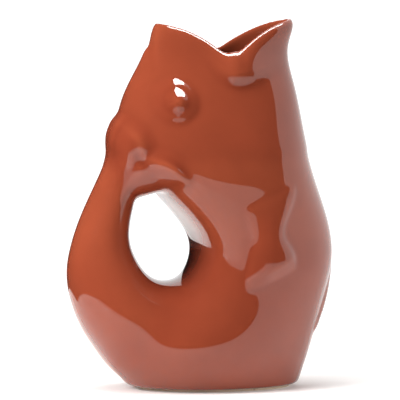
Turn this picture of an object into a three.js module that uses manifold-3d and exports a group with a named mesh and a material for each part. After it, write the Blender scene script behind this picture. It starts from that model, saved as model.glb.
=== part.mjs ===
// Glazed stoneware jug in the form of an upright fish. The open mouth pours, and the hollow tail curls up
// behind as the handle and opens into the belly, so that it traps the air that makes the jug gurgle.
// The fired jug is one ceramic body: each mesh is a clay piece that is cast or pressed by itself and luted
// on with slip. Millimetres, +Z up, +X towards the pouring lip, origin on the table at the foot's centre.

import * as THREE from "three";
import { mergeVertices } from "three/addons/utils/BufferGeometryUtils.js";
import Module from "manifold-3d";

const wasm = await Module();
wasm.setup();

// Clay
const WALL = 5;
const FLOOR = 6;
const SLIP_GAP = 0.3;

// Flat foot, wiped free of glaze
const FOOT_HEIGHT = 2;
const FOOT_INSET = 1.2;

// Body, station by station from the foot up. rise is the height above the station below, back and front are
// where the outline lies along X, width is across Y, and backPower and frontPower shape the two halves of
// the horizontal section: 2 is an ellipse, more is boxier and less is more pointed.
const FOOT = { back: -57.5, front: 57.5, width: 86, backPower: 2, frontPower: 2 };
const SOLE = { rise: 19, back: -75, front: 65, width: 102, backPower: 2.1, frontPower: 2 };
const HEEL = { rise: 22, back: -62, front: 71.5, width: 111, backPower: 2.4, frontPower: 2 };
const BELLY = { rise: 24, back: -27, front: 78.5, width: 112, backPower: 3, frontPower: 2 };
const WAIST = { rise: 27, back: -9.5, front: 84, width: 106, backPower: 4, frontPower: 2 };
const FLANK = { rise: 27, back: -25, front: 78, width: 104, backPower: 3.7, frontPower: 2 };
const CHEEK = { rise: 30, back: -53, front: 68.5, width: 107, backPower: 2.8, frontPower: 2 };
const BROW = { rise: 35, back: -66, front: 60.5, width: 91, backPower: 2.2, frontPower: 2 };
const MUZZLE = { rise: 25, back: -56.5, front: 55.5, width: 70, backPower: 2, frontPower: 1.9 };
const GAPE = { rise: 22, back: -45.5, front: 52.5, width: 51, backPower: 1.9, frontPower: 1.8 };
const LIP = { rise: 20, back: -42, front: 56.5, width: 45, backPower: 1.8, frontPower: 1.6 };

// Mouth: the rim falls from both lips to a rounded corner on each side, with a fold of clay under it
const MOUTH_DEPTH = 25.5;
const MOUTH_CORNER_X = 3.5;
const MOUTH_CORNER_ROUND = 8;
const FRONT_RIM_ARCH = 4;
const BACK_RIM_ARCH = 5;
const BACK_LIP_DROP = 1.5;
const CORNER_FOLD_RISE = 5;
const CORNER_FOLD_RADIUS = 12;
const CORNER_FOLD_BELOW = 6.5;
const CORNER_FOLD_AHEAD = 5;

// Tail, from its root inside the belly up to the fluke. Each station crosses the tail in the plane of
// symmetry, from its outer edge to the edge that faces the body, and wide is its size across that plane.
// behind is measured back from the foot's rear edge and up from the table; ahead is measured forward from
// the brow's rear edge and below down from the brow.
const TAIL_ROOT = { outerBehind: -63, outerUp: 14, innerBehind: -63, innerUp: 66, wide: 84 };
const TAIL_HEEL = { outerBehind: 6, outerUp: 16.5, innerBehind: -22, innerUp: 72, wide: 98 };
const TAIL_BEND = { outerBehind: 37.5, outerUp: 49.5, innerBehind: -6.5, innerUp: 80, wide: 76 };
const TAIL_BACK = { outerBehind: 44.5, outerUp: 89.5, innerBehind: 2.5, innerUp: 103.5, wide: 54 };
const TAIL_NECK = { outerBehind: 31, outerUp: 130.5, innerBehind: -0.5, innerUp: 127, wide: 45 };
const FLUKE_ROOT = { outerAhead: -9.5, outerBelow: 26, innerAhead: 11.5, innerBelow: 54, wide: 46 };
const FLUKE_FLARE = { outerAhead: -9.5, outerBelow: 9.5, innerAhead: 25, innerBelow: 49, wide: 56 };
const FLUKE_TIP = { outerAhead: -1.5, outerBelow: -4, innerAhead: 40, innerBelow: 43.5, wide: 40 };

// The fluke hugs the sides of the head: how much its lower lobes widen, the depth of the fork between the
// upper and the lower lobes, and how far the rim stands off the head
const FLUKE_SPREAD = 0.8;
const FLUKE_NOTCH = 8;
const FLUKE_EDGE = 3.5;

// Eye: a raised disc with a round pupil, on the side of the head
const EYE_DISC_RADIUS = 14.5;
const EYE_DISC_RISE = 1.8;
const EYE_RADIUS = 7.5;
const EYE_RISE = 4.5;
const EYE_ABOVE_BROW = 13.5;
const EYE_FROM_BACK = 28;

// Pectoral fin: a flap flush with the cheek at its root and standing free at its lower edge
const PECTORAL_BACK_X = 11;
const PECTORAL_LENGTH = 34.5;
const PECTORAL_NOTCH = 10;
const PECTORAL_HEIGHT = 55;
const PECTORAL_SLANT = 15;
const PECTORAL_ABOVE_FLANK = 12;
const PECTORAL_RISE = 6;

// Belly fin: a flap on the front of the belly, flush at its upper end
const BELLY_FIN_WIDTH = 26;
const BELLY_FIN_HEIGHT = 46;
const BELLY_FIN_BELOW_WAIST = 9;
const BELLY_FIN_RISE = 4;

const FLAP_ROOT_DEPTH = 7;
const AROUND_BODY = 44;
const AROUND_TAIL = 28;
const STEPS_PER_STATION = 3;

const glaze = new THREE.MeshStandardMaterial({ color: "#b04f33", roughness: 0.12, metalness: 0 });
const bareClay = new THREE.MeshStandardMaterial({ color: "#cdbba4", roughness: 0.85, metalness: 0 });

// Natural cubic spline through values at rising stops: steady in slope and in curvature, straight beyond them
function spline(stops, values) {
  const last = stops.length - 1;
  const bend = new Array(last + 1).fill(0);
  const carry = new Array(last + 1).fill(0);
  for (let i = 1; i < last; i += 1) {
    const before = stops[i] - stops[i - 1];
    const after = stops[i + 1] - stops[i];
    const turn = (values[i + 1] - values[i]) / after - (values[i] - values[i - 1]) / before;
    const pivot = 2 * (before + after) - before * carry[i - 1];
    carry[i] = after / pivot;
    bend[i] = (6 * turn - before * bend[i - 1]) / pivot;
  }
  for (let i = last - 1; i > 0; i -= 1) {
    bend[i] -= carry[i] * bend[i + 1];
  }
  const inside = (at, i) => {
    const gap = stops[i + 1] - stops[i];
    const u = (stops[i + 1] - at) / gap;
    const v = 1 - u;
    const sag = ((u ** 3 - u) * bend[i] + (v ** 3 - v) * bend[i + 1]) * gap * gap / 6;
    return u * values[i] + v * values[i + 1] + sag;
  };
  const nudge = 1e-3;
  return (at) => {
    if (at < stops[0]) {
      const slope = (inside(stops[0] + nudge, 0) - values[0]) / nudge;
      return values[0] + slope * (at - stops[0]);
    }
    if (at > stops[last]) {
      const slope = (values[last] - inside(stops[last] - nudge, last - 1)) / nudge;
      return values[last] + slope * (at - stops[last]);
    }
    const i = Math.min(last - 1, stops.findLastIndex((stop) => stop <= at));
    return inside(at, i);
  };
}

// Closed skin over rings of equally many points, with a flat fan over each end
function loft(rings) {
  const around = rings[0].length;
  const points = rings.flat();
  const faces = [];
  for (let i = 0; i + 1 < rings.length; i += 1) {
    for (let j = 0; j < around; j += 1) {
      const next = (j + 1) % around;
      const low = i * around;
      const high = low + around;
      faces.push(low + j, low + next, high + next, low + j, high + next, high + j);
    }
  }
  const middle = (ring) => ring.reduce((sum, p) => sum.add(p), new THREE.Vector3()).divideScalar(around);
  points.push(middle(rings[0]), middle(rings.at(-1)));
  const top = (rings.length - 1) * around;
  for (let j = 0; j < around; j += 1) {
    const next = (j + 1) % around;
    faces.push(points.length - 2, next, j, points.length - 1, top + j, top + next);
  }
  const geometry = new THREE.BufferGeometry().setFromPoints(points);
  geometry.setIndex(faces);
  return geometry;
}

function toSolid(geometry) {
  const bare = geometry.clone();
  bare.deleteAttribute("normal");
  bare.deleteAttribute("uv");
  const merged = mergeVertices(bare, 1e-4);
  const vertProperties = Float32Array.from(merged.attributes.position.array);
  const triVerts = Uint32Array.from(merged.index.array);
  return new wasm.Manifold(new wasm.Mesh({ numProp: 3, vertProperties, triVerts }));
}

function toGeometry(solid) {
  const mesh = solid.getMesh();
  const geometry = new THREE.BufferGeometry();
  geometry.setAttribute("position", new THREE.BufferAttribute(mesh.vertProperties.slice(), 3));
  geometry.setIndex(Array.from(mesh.triVerts));
  geometry.computeVertexNormals();
  return geometry;
}

// Body form
const stations = [FOOT, SOLE, HEEL, BELLY, WAIST, FLANK, CHEEK, BROW, MUZZLE, GAPE, LIP];
const bodyBase = FOOT_HEIGHT + SLIP_GAP;
const heights = [bodyBase];
for (const station of stations.slice(1)) {
  heights.push(heights.at(-1) + station.rise);
}
const heightOf = (station) => heights[stations.indexOf(station)];
const along = (key) => spline(heights, stations.map((station) => station[key]));
const backAt = along("back");
const frontAt = along("front");
const widthAt = along("width");
const backPowerAt = along("backPower");
const frontPowerAt = along("frontPower");
const lipTop = heightOf(LIP);
const mouthCornerZ = lipTop - MOUTH_DEPTH;

// Fold of clay under each corner of the mouth
function cornerFold(x, z) {
  const ahead = x - MOUTH_CORNER_X - CORNER_FOLD_AHEAD;
  const above = z - mouthCornerZ + CORNER_FOLD_BELOW;
  return CORNER_FOLD_RISE * Math.exp(-(ahead * ahead + above * above) / (0.5 * CORNER_FOLD_RADIUS ** 2));
}

// Half width of the body's outside at a point of the plane of symmetry
function sideAt(x, z) {
  const centre = (backAt(z) + frontAt(z)) / 2;
  const reach = (frontAt(z) - backAt(z)) / 2;
  const power = x < centre ? backPowerAt(z) : frontPowerAt(z);
  const share = Math.min(1, Math.abs(x - centre) / reach);
  return widthAt(z) / 2 * (1 - share ** power) ** (1 / power) + cornerFold(x, z);
}

// Where the body's front lies at a distance from the plane of symmetry
function frontSurfaceAt(y, z) {
  const centre = (backAt(z) + frontAt(z)) / 2;
  const share = Math.min(1, Math.abs(y) / (widthAt(z) / 2));
  const power = frontPowerAt(z);
  return centre + (frontAt(z) - centre) * (1 - share ** power) ** (1 / power);
}

function bodyRing(z, inset) {
  const centre = (backAt(z) + frontAt(z)) / 2;
  const reach = (frontAt(z) - backAt(z)) / 2 - inset;
  const side = widthAt(z) / 2 - inset;
  const ring = [];
  for (let j = 0; j < AROUND_BODY; j += 1) {
    const angle = j * 2 * Math.PI / AROUND_BODY;
    const c = Math.cos(angle);
    const s = Math.sin(angle);
    const power = c < 0 ? backPowerAt(z) : frontPowerAt(z);
    const x = centre + reach * Math.sign(c) * Math.abs(c) ** (2 / power);
    const fold = inset > 0 ? 0 : cornerFold(x, z) * Math.abs(s);
    ring.push(new THREE.Vector3(x, Math.sign(s) * (side * Math.abs(s) ** (2 / power) + fold), z));
  }
  return ring;
}

function bodySolid(low, high, inset) {
  const levels = [low];
  for (let i = 0; i + 1 < heights.length; i += 1) {
    for (let k = 0; k < STEPS_PER_STATION; k += 1) {
      levels.push(heights[i] + (heights[i + 1] - heights[i]) * k / STEPS_PER_STATION);
    }
  }
  levels.push(lipTop, high);
  const kept = levels.filter((z, i) => i === 0 || z === high || (z > low + 1 && z < high - 1));
  return toSolid(loft(kept.map((z) => bodyRing(z, inset))));
}

// Everything above the rim, as one outline across the whole body
function mouthCut(top) {
  const clear = LIP.front - LIP.back;
  const lipRound = 0.6 * WALL;
  const peakX = LIP.back + lipRound;
  const peakZ = lipTop - BACK_LIP_DROP;
  const backSlope = (peakZ - mouthCornerZ) / (MOUTH_CORNER_X - peakX);
  const frontSlope = MOUTH_DEPTH / (LIP.front - MOUTH_CORNER_X);
  const roundStartX = MOUTH_CORNER_X - MOUTH_CORNER_ROUND;
  const roundEndX = MOUTH_CORNER_X + MOUTH_CORNER_ROUND;
  const backArchX = (peakX + roundStartX) / 2;
  const frontArchX = (roundEndX + LIP.front) / 2;
  const outline = new THREE.Shape();
  outline.moveTo(LIP.back - clear, peakZ - lipRound);
  outline.lineTo(LIP.back, peakZ - lipRound);
  outline.quadraticCurveTo(LIP.back, peakZ, peakX, peakZ);
  outline.quadraticCurveTo(
    backArchX, mouthCornerZ + backSlope * (MOUTH_CORNER_X - backArchX) + 2 * BACK_RIM_ARCH,
    roundStartX, mouthCornerZ + backSlope * MOUTH_CORNER_ROUND);
  outline.quadraticCurveTo(
    MOUTH_CORNER_X, mouthCornerZ,
    roundEndX, mouthCornerZ + frontSlope * MOUTH_CORNER_ROUND);
  outline.quadraticCurveTo(
    frontArchX, mouthCornerZ + frontSlope * (frontArchX - MOUTH_CORNER_X) + 2 * FRONT_RIM_ARCH,
    LIP.front, lipTop);
  outline.lineTo(LIP.front + clear, lipTop);
  outline.lineTo(LIP.front + clear, top + clear);
  outline.lineTo(LIP.back - clear, top + clear);
  const depth = 2 * LIP.width;
  const geometry = new THREE.ExtrudeGeometry(outline, { depth, bevelEnabled: false, curveSegments: 6 });
  geometry.rotateX(Math.PI / 2);
  geometry.translate(0, depth / 2, 0);
  return toSolid(geometry);
}

// Tail form
const lowTail = [TAIL_ROOT, TAIL_HEEL, TAIL_BEND, TAIL_BACK, TAIL_NECK];
const fluke = [FLUKE_ROOT, FLUKE_FLARE, FLUKE_TIP];
const tailStops = [...lowTail, ...fluke].map((station, i) => i);
const tailSeam = lowTail.indexOf(TAIL_BEND);
const flukeStart = lowTail.length;
const flukeEnd = tailStops.at(-1);

function edgeAlong(edge) {
  const x = [
    ...lowTail.map((station) => FOOT.back - station[edge + "Behind"]),
    ...fluke.map((station) => BROW.back + station[edge + "Ahead"])];
  const z = [
    ...lowTail.map((station) => station[edge + "Up"]),
    ...fluke.map((station) => heightOf(BROW) - station[edge + "Below"])];
  const xAt = spline(tailStops, x);
  const zAt = spline(tailStops, z);
  return (stop) => new THREE.Vector3(xAt(stop), 0, zAt(stop));
}

const outerEdge = edgeAlong("outer");
const innerEdge = edgeAlong("inner");
const tailWide = spline(tailStops, [...lowTail, ...fluke].map((station) => station.wide));
const tailMiddle = (stop) => outerEdge(stop).lerp(innerEdge(stop), 0.5);

// Section of the tail: an oval that turns, along the fluke, into a forked rim lying on the head
function tailRing(stop, inset) {
  const middle = tailMiddle(stop);
  const reach = innerEdge(stop).sub(middle);
  const deep = reach.length() - inset;
  const wide = tailWide(stop) / 2 - inset;
  const inward = reach.normalize();
  const flare = THREE.MathUtils.clamp((stop - flukeStart) / (flukeEnd - flukeStart), 0, 1);
  const hug = 1 - (1 - flare) ** 4;
  const forward = new THREE.Vector3(-inward.z, 0, inward.x);
  const ring = [];
  for (let j = 0; j < AROUND_TAIL; j += 1) {
    const c = Math.cos(j * 2 * Math.PI / AROUND_TAIL);
    const s = Math.sin(j * 2 * Math.PI / AROUND_TAIL);
    const point = middle.clone().addScaledVector(inward, deep * c);
    point.addScaledVector(forward, -FLUKE_NOTCH * flare * s ** 10);
    const stem = wide * Math.abs(s) ** (1 - flare / 2) * (1 + FLUKE_SPREAD * flare * c);
    const lobe = hug * (sideAt(point.x, point.z) + FLUKE_EDGE) * Math.abs(s) ** 0.12;
    point.y = Math.sign(s) * (stem ** 4 + lobe ** 4) ** 0.25;
    ring.push(point);
  }
  return ring;
}

function tailSolid(from, to, steps, inset) {
  const rings = [];
  for (let i = 0; i <= steps; i += 1) {
    rings.push(tailRing(from + (to - from) * i / steps, inset));
  }
  return toSolid(loft(rings));
}

// A distance along the tail near a stop, counted in stations
function stopsFor(distance, stop) {
  return distance / tailMiddle(stop + 0.5).distanceTo(tailMiddle(stop - 0.5));
}

// Flap lying on a surface: rows run from its root to its free edge, each from one side to the other.
// surface gives a point of the skin pushed out by a distance.
function flap(rowAt, riseAt, surface, rows, columns) {
  const rings = [];
  for (let i = 0; i <= rows; i += 1) {
    const share = i / rows;
    const [start, end] = rowAt(share);
    const ring = [];
    for (let k = 0; k <= columns; k += 1) {
      const crown = 0.55 + 0.45 * Math.sin(Math.PI * k / columns) ** 0.5;
      ring.push(surface(start.clone().lerp(end, k / columns), riseAt(share) * crown + 2 * SLIP_GAP));
    }
    for (let k = columns; k >= 0; k -= 1) {
      ring.push(surface(start.clone().lerp(end, k / columns), -FLAP_ROOT_DEPTH));
    }
    rings.push(ring);
  }
  return loft(rings);
}

// Booleans
const aboveLip = lipTop + MOUTH_DEPTH / 3;
const bodyForm = bodySolid(bodyBase, aboveLip, 0);
const cavity = bodySolid(bodyBase + FLOOR, aboveLip + WALL, WALL);
const keepOut = bodySolid(bodyBase - SLIP_GAP, aboveLip, -SLIP_GAP);
const bore = tailSolid(0, flukeStart - stopsFor(WALL, flukeStart), 16, WALL);
const bodyShell = bodyForm.subtract(mouthCut(aboveLip)).subtract(cavity).subtract(bore);
const tailRoot = tailSolid(0, tailSeam, 8, 0).subtract(bore).subtract(keepOut);
const handleStart = tailSeam + stopsFor(SLIP_GAP, tailSeam);
const tailHandle = tailSolid(handleStart, flukeStart, 12, 0).subtract(bore).subtract(keepOut);
const finStart = flukeStart + stopsFor(SLIP_GAP, flukeStart);
const tailFin = tailSolid(finStart, flukeEnd, 12, 0).subtract(keepOut);

function flatFoot() {
  const centre = (FOOT.back + FOOT.front) / 2;
  const reach = (FOOT.front - FOOT.back) / 2 - FOOT_INSET;
  const outline = new THREE.Shape();
  outline.absellipse(centre, 0, reach, FOOT.width / 2 - FOOT_INSET, 0, 2 * Math.PI);
  return new THREE.ExtrudeGeometry(outline, { depth: FOOT_HEIGHT, bevelEnabled: false, curveSegments: 28 });
}

function eye() {
  const z = heightOf(BROW) + EYE_ABOVE_BROW;
  const x = backAt(z) + EYE_FROM_BACK;
  const nudge = 0.5;
  const outward = new THREE.Vector3(
    (sideAt(x - nudge, z) - sideAt(x + nudge, z)) / (2 * nudge), 1,
    (sideAt(x, z - nudge) - sideAt(x, z + nudge)) / (2 * nudge)).normalize();
  const domeSteps = 6;
  const profile = [
    new THREE.Vector2(0, -EYE_DISC_RADIUS / 2),
    new THREE.Vector2(EYE_DISC_RADIUS, -EYE_DISC_RADIUS / 2),
    new THREE.Vector2(EYE_DISC_RADIUS, -EYE_DISC_RISE / 2),
    new THREE.Vector2(EYE_DISC_RADIUS - EYE_DISC_RISE, EYE_DISC_RISE / 2),
    new THREE.Vector2((EYE_RADIUS + EYE_DISC_RADIUS) / 2, EYE_DISC_RISE)];
  for (let i = 0; i < domeSteps; i += 1) {
    const angle = i * Math.PI / 2 / domeSteps;
    profile.push(new THREE.Vector2(EYE_RADIUS * Math.cos(angle), EYE_DISC_RISE + EYE_RISE * Math.sin(angle)));
  }
  profile.push(new THREE.Vector2(0, EYE_DISC_RISE + EYE_RISE));
  const geometry = new THREE.LatheGeometry(profile, 28);
  const turn = new THREE.Quaternion().setFromUnitVectors(new THREE.Vector3(0, 1, 0), outward);
  geometry.applyQuaternion(turn);
  geometry.translate(x, sideAt(x, z), z);
  return toGeometry(toSolid(geometry).subtract(keepOut));
}

function pectoralFin() {
  const rootZ = heightOf(FLANK) + PECTORAL_ABOVE_FLANK;
  const rowAt = (share) => {
    const notch = PECTORAL_NOTCH * Math.sin(Math.PI * share) ** 2;
    const z = rootZ - PECTORAL_HEIGHT * share;
    return [
      new THREE.Vector2(PECTORAL_BACK_X, z - PECTORAL_SLANT / 2),
      new THREE.Vector2(PECTORAL_BACK_X + PECTORAL_LENGTH - notch, z + PECTORAL_SLANT / 2)];
  };
  const surface = (at, out) => new THREE.Vector3(at.x, sideAt(at.x, at.y) + out, at.y);
  const riseAt = (share) => PECTORAL_RISE * share ** 0.8;
  const geometry = flap(rowAt, riseAt, surface, 10, 10);
  return toGeometry(toSolid(geometry).subtract(keepOut));
}

function bellyFin() {
  const topZ = heightOf(WAIST) - BELLY_FIN_BELOW_WAIST;
  const rowAt = (share) => {
    const half = BELLY_FIN_WIDTH / 2 * (0.4 + 0.6 * share);
    const z = topZ - BELLY_FIN_HEIGHT * share;
    return [new THREE.Vector2(half, z), new THREE.Vector2(-half, z)];
  };
  const surface = (at, out) => new THREE.Vector3(frontSurfaceAt(at.x, at.y) + out, at.x, at.y);
  const riseAt = (share) => BELLY_FIN_RISE * Math.sin(Math.PI * share * 0.85);
  const geometry = flap(rowAt, riseAt, surface, 8, 10);
  return toGeometry(toSolid(geometry).subtract(keepOut));
}

function piece(name, geometry, material) {
  const mesh = new THREE.Mesh(geometry, material);
  mesh.name = name;
  return mesh;
}

function mirrored(name, geometry, material) {
  const mesh = piece(name, geometry, material);
  mesh.scale.y = -1;
  return mesh;
}

const eyeGeometry = eye();
const finGeometry = pectoralFin();
const jug = new THREE.Group();
jug.name = "fish_jug";
jug.add(
  piece("body_shell", toGeometry(bodyShell), glaze),
  piece("foot", flatFoot(), bareClay),
  piece("tail_root", toGeometry(tailRoot), glaze),
  piece("tail_handle", toGeometry(tailHandle), glaze),
  piece("tail_fin", toGeometry(tailFin), glaze),
  piece("left_pectoral_fin", finGeometry, glaze),
  mirrored("right_pectoral_fin", finGeometry, glaze),
  piece("left_eye", eyeGeometry, glaze),
  mirrored("right_eye", eyeGeometry, glaze),
  piece("belly_fin", bellyFin(), glaze));

export default jug;
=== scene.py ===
"""Glazed stoneware jug in the form of an upright fish, on a pale studio floor.

The fired jug is one ceramic body: clay pieces are luted together with slip, the joints are sponged to soft
fillets, and one coat of gloss glaze runs over all of them. So the glazed pieces are made here as one skin,
from the same sizes as the solids that they stand for, and the bare foot is a piece of its own.
Sizes are in millimetres until a mesh is made; +Z is up and +X points to the pouring lip.
"""
import logging
import math
from dataclasses import dataclass
from enum import Enum
from functools import cached_property

import bpy
import numpy as np
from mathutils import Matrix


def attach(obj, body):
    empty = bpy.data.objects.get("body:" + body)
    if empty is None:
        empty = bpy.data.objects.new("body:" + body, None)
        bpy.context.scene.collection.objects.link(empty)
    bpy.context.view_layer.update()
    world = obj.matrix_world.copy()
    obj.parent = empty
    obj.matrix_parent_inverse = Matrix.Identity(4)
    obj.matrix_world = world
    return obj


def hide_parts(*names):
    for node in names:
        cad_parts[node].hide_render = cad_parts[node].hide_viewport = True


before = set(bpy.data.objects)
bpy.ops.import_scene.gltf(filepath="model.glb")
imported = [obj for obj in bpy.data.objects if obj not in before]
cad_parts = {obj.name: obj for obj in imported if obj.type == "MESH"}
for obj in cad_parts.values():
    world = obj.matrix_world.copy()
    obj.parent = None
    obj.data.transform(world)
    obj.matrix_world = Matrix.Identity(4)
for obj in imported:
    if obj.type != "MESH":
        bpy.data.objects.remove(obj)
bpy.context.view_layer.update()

import openvdb as vdb
from mathutils import Vector

LOG = logging.getLogger("fish_jug")
MM = 0.001
ROOT_BODY = "root"
TINY = 1e-9


class Slot(Enum):
    """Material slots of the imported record."""

    GLAZE = "glaze"
    BARE_CLAY = "bare_clay"


def linear(hex_colour: str) -> tuple[float, float, float, float]:
    """Turn an sRGB hex colour into linear red, green, blue and alpha.

    Args:
        hex_colour: Colour such as "#b04f33".

    Returns:
        Linear channels with alpha 1.
    """
    channels = []
    for start in (1, 3, 5):
        value = int(hex_colour[start:start + 2], 16) / 255
        channels.append(value / 12.92 if value <= 0.04045 else ((value + 0.055) / 1.055) ** 2.4)
    return (*channels, 1.0)


def smooth_step(low: float, high: float, at: np.ndarray) -> np.ndarray:
    """Rise from 0 at low to 1 at high, flat beyond both."""
    share = np.clip((at - low) / (high - low), 0, 1)
    return share * share * (3 - 2 * share)


class Spline:
    """Natural cubic through values at rising stops, straight beyond both ends."""

    def __init__(self, stops: list[float], values: list[float]) -> None:
        """Solve for the bends.

        Args:
            stops: Rising places along the curve.
            values: Value at each stop.
        """
        self.stops = np.array(stops, float)
        self.values = np.array(values, float)
        gaps = np.diff(self.stops)
        count = len(stops)
        system = np.eye(count)
        turns = np.zeros(count)
        slopes = np.diff(self.values) / gaps
        for i in range(1, count - 1):
            system[i, i - 1:i + 2] = gaps[i - 1], 2 * (gaps[i - 1] + gaps[i]), gaps[i]
            turns[i] = 6 * (slopes[i] - slopes[i - 1])
        self.bends = np.linalg.solve(system, turns)
        self.start_slope = slopes[0] - gaps[0] * self.bends[1] / 6
        self.end_slope = slopes[-1] + gaps[-1] * self.bends[-2] / 6

    def __call__(self, at: np.ndarray) -> np.ndarray:
        """Give the values at places along the curve.

        Args:
            at: Places, inside or outside the stops.

        Returns:
            Values, of the same shape.
        """
        at = np.asarray(at, float)
        held = np.clip(at, self.stops[0], self.stops[-1])
        i = np.clip(np.searchsorted(self.stops, held, side="right") - 1, 0, len(self.stops) - 2)
        gap = self.stops[i + 1] - self.stops[i]
        u = (self.stops[i + 1] - held) / gap
        v = 1 - u
        sag = ((u**3 - u) * self.bends[i] + (v**3 - v) * self.bends[i + 1]) * gap**2 / 6
        inside = u * self.values[i] + v * self.values[i + 1] + sag
        before = np.minimum(at - self.stops[0], 0) * self.start_slope
        after = np.maximum(at - self.stops[-1], 0) * self.end_slope
        return inside + before + after


@dataclass(frozen=True)
class Station:
    """One level of the body: its rise above the level below, its reach along X, and its section."""

    rise: float
    back: float
    widest: float
    front: float
    width: float
    back_power: float
    front_power: float


@dataclass(frozen=True)
class EyeForm:
    """A soft round swelling on the side of the head, with a rounder one for the pupil."""

    ring_radius: float = 18.0
    ring_flat: float = 9.0
    ring_rise: float = 3.3
    pupil_radius: float = 9.5
    pupil_rise: float = 5.2
    x: float = -35.5
    z: float = 200.0
    squeeze_x: float = 1.08
    squeeze_z: float = 1.05
    pupil_power: float = 1.6

    def swell(self, x: np.ndarray, z: np.ndarray) -> np.ndarray:
        """How far the eye stands off the head at points of the plane of symmetry.

        Args:
            x: Places along the jug.
            z: Heights.

        Returns:
            Rise above the head.
        """
        radius = np.hypot(self.squeeze_x * (x - self.x), self.squeeze_z * (z - self.z))
        ring = self.ring_rise * (1 - smooth_step(self.ring_flat, self.ring_radius, radius))
        dome = 1 - np.clip(radius / self.pupil_radius, 0, 1) ** 2
        pupil = self.pupil_rise * dome**self.pupil_power
        return ring + pupil


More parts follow.
